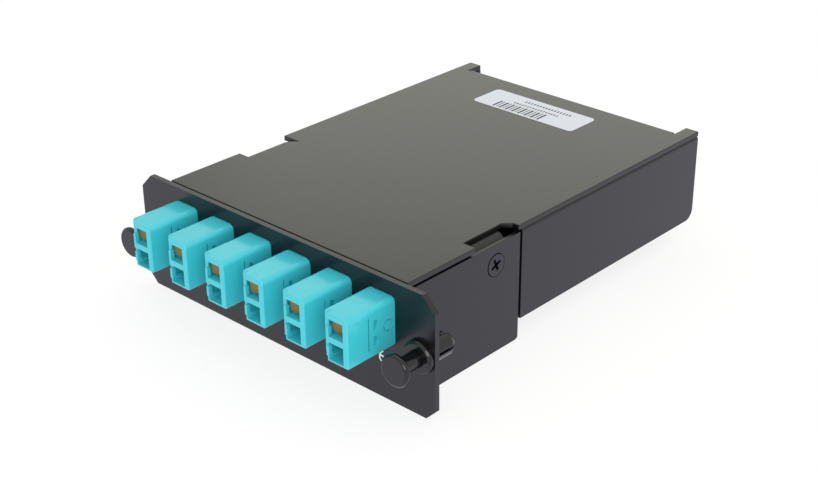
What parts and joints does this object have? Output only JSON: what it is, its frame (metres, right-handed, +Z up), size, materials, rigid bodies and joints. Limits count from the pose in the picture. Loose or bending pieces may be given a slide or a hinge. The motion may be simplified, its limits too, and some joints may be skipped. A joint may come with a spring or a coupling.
{
  "type": "fibre cassette",
  "caption": "Folded steel fibre cassette: a front plate with stacked duplex ports, push-pull fasteners, a lidded tray with stored fibre and a multi-fibre port at the rear.",
  "frame": {"origin": "centre of the bounding box's base: under the middle of the cassette, at the lower edge of the plate and wings", "axes": "+X along the face plate, to the right seen from the front; +Y from the ports to the rear; +Z up"},
  "size_m": [0.108, 0.1474, 0.0336],
  "materials": {
    "black_steel": "fine black powder coat",
    "label_paper": "white paper label",
    "aqua_plastic": "moulded, satin",
    "ceramic": "white zirconia",
    "bronze": "phosphor bronze strip",
    "plug_plastic": "moulded, satin",
    "black_nylon": "moulded, satin",
    "dark_screw": "black zinc",
    "nut_steel": "plain",
    "fibre_jacket": "smooth jacket"
  },
  "bodies": {
    "cassette": {"face_plate": "black_steel", "front_bracket": "black_steel", "rear_tray": "black_steel", "top_cover": "black_steel", "cover_label": "label_paper", "lc_adapter_1": "aqua_plastic", "alignment_sleeves_1": "ceramic", "port_inserts_1": "aqua_plastic", "port_leaf_1": "bronze", "lc_plugs_1": "plug_plastic", "lc_adapter_2": "aqua_plastic", "alignment_sleeves_2": "ceramic", "port_inserts_2": "aqua_plastic", "port_leaf_2": "bronze", "lc_plugs_2": "plug_plastic", "lc_adapter_3": "aqua_plastic", "alignment_sleeves_3": "ceramic", "port_inserts_3": "aqua_plastic", "port_leaf_3": "bronze", "lc_plugs_3": "plug_plastic", "lc_adapter_4": "aqua_plastic", "alignment_sleeves_4": "ceramic", "port_inserts_4": "aqua_plastic", "port_leaf_4": "bronze", "lc_plugs_4": "plug_plastic", "lc_adapter_5": "aqua_plastic", "alignment_sleeves_5": "ceramic", "port_inserts_5": "aqua_plastic", "port_leaf_5": "bronze", "lc_plugs_5": "plug_plastic", "lc_adapter_6": "aqua_plastic", "alignment_sleeves_6": "ceramic", "port_inserts_6": "aqua_plastic", "port_leaf_6": "bronze", "lc_plugs_6": "plug_plastic", "grommet_left": "black_nylon", "grommet_right": "black_nylon", "fibre_guide_left": "black_nylon", "fibre_guide_right": "black_nylon", "mpo_adapter": "black_nylon", "mpo_plug": "black_nylon", "wing_screw_left": "dark_screw", "wing_screw_right": "dark_screw", "clinch_nut_left": "nut_steel", "clinch_nut_right": "nut_steel", "fibre_harness": "fibre_jacket", "ribbon_lead": "fibre_jacket"},
    "left_plunger": {"plunger_left": "black_nylon"},
    "right_plunger": {"plunger_right": "black_nylon"}
  },
  "joints": [
    {"name": "left_plunger_push", "type": "slide", "parent": "cassette", "child": "left_plunger", "axis": [0, 1, 0], "range_m": [0, 0.0056]},
    {"name": "right_plunger_push", "type": "slide", "parent": "cassette", "child": "right_plunger", "axis": [0, 1, 0], "range_m": [0, 0.0056]}
  ]
}
